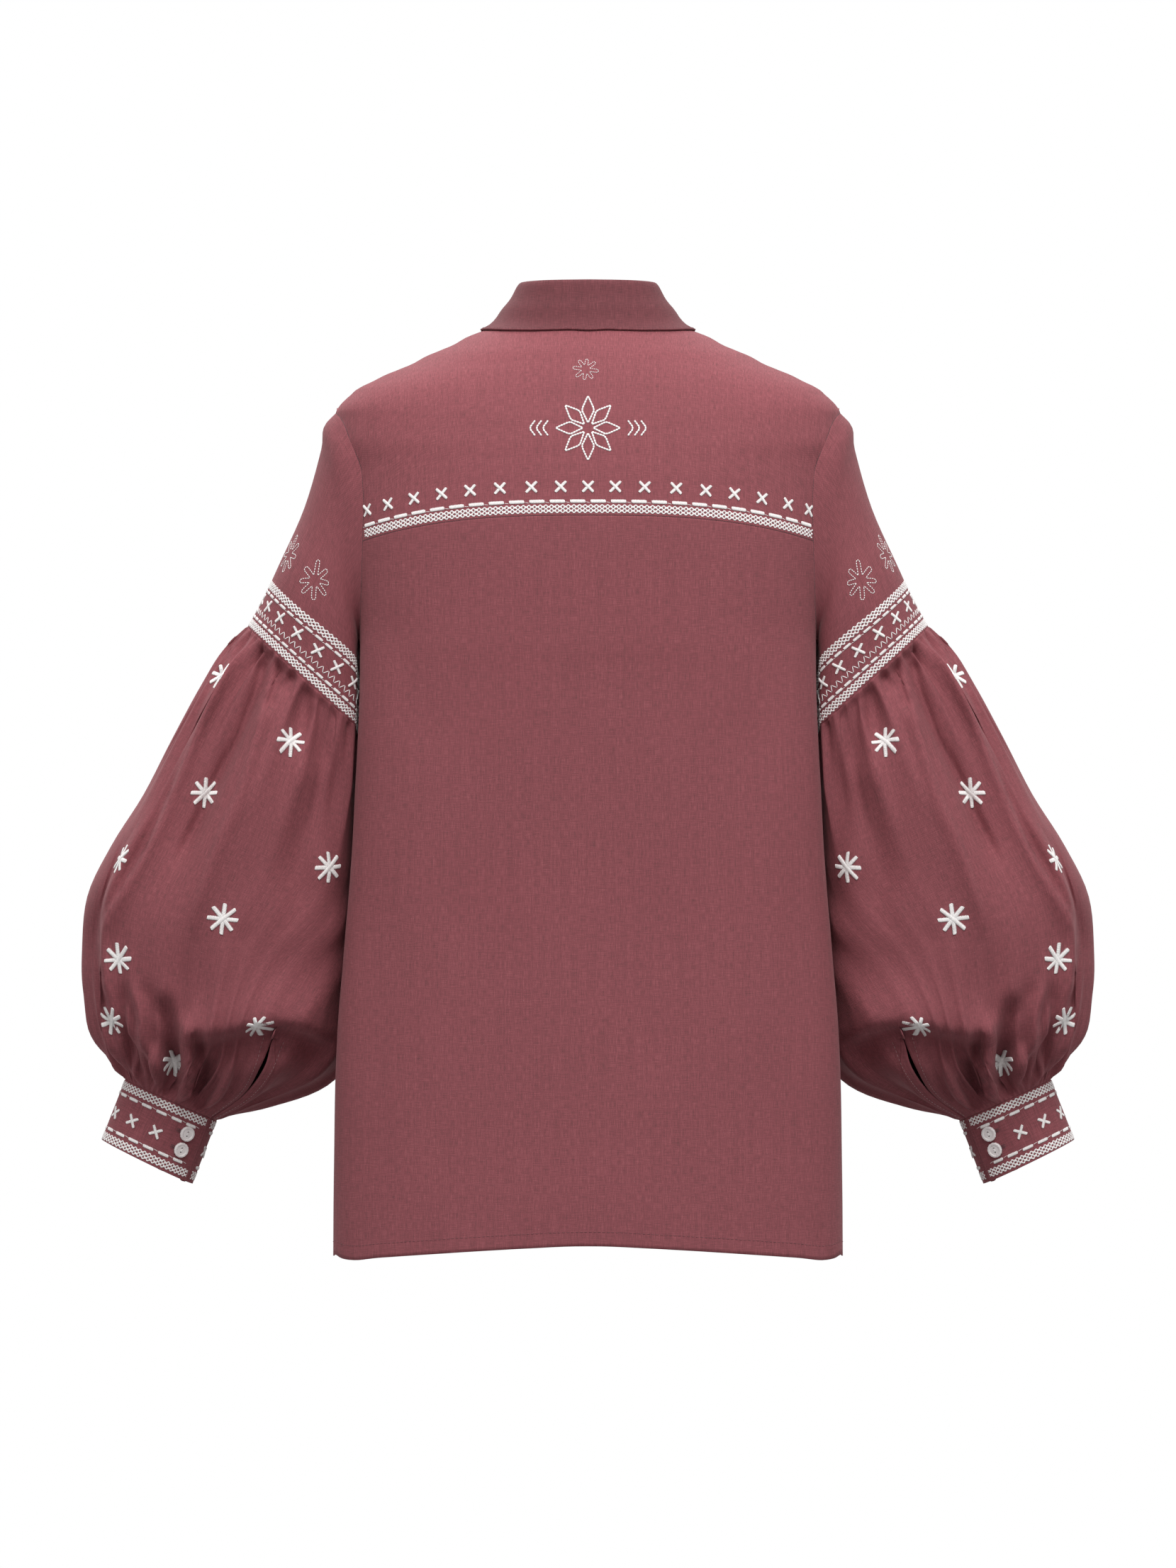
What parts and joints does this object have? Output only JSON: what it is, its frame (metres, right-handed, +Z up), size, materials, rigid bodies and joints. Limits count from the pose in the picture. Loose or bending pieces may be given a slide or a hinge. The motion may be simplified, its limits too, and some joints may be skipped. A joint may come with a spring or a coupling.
{
  "type": "vyshyvanka shirt",
  "caption": "Filled-out linen blouse with a turned-down collar, curved back yoke, puffed sleeves gathered into cuffs, and an open neck, hem and cuffs.",
  "frame": {"origin": "midway between the two points where the neck seam crosses the shoulders, where the shoulders carry the blouse", "axes": "+Z up, the back faces +Y, the front faces -Y, the wearer's left is +X; sleeves spread along X"},
  "size_m": [0.7896, 0.2635, 0.7556],
  "materials": {
    "linen": "matt plain-woven linen, dusty burgundy",
    "shell": "pale shell, soft gloss"
  },
  "bodies": {
    "root": {"back": "linen", "back_yoke": "linen", "front_left": "linen", "front_right": "linen", "placket_over": "linen", "placket_under": "linen", "collar_band": "linen", "collar_leaf": "linen", "sleeve_upper_left": "linen", "sleeve_upper_right": "linen", "sleeve_lower_left": "linen", "sleeve_lower_right": "linen", "sleeve_binding_left": "linen", "sleeve_binding_right": "linen", "cuff_left": "linen", "cuff_right": "linen", "button_front_1": "shell", "button_front_2": "shell", "button_front_3": "shell", "button_front_4": "shell", "button_front_5": "shell", "button_front_6": "shell", "button_collar": "shell", "button_cuff_left_1": "shell", "button_cuff_left_2": "shell", "button_cuff_right_1": "shell", "button_cuff_right_2": "shell"}
  },
  "joints": []
}
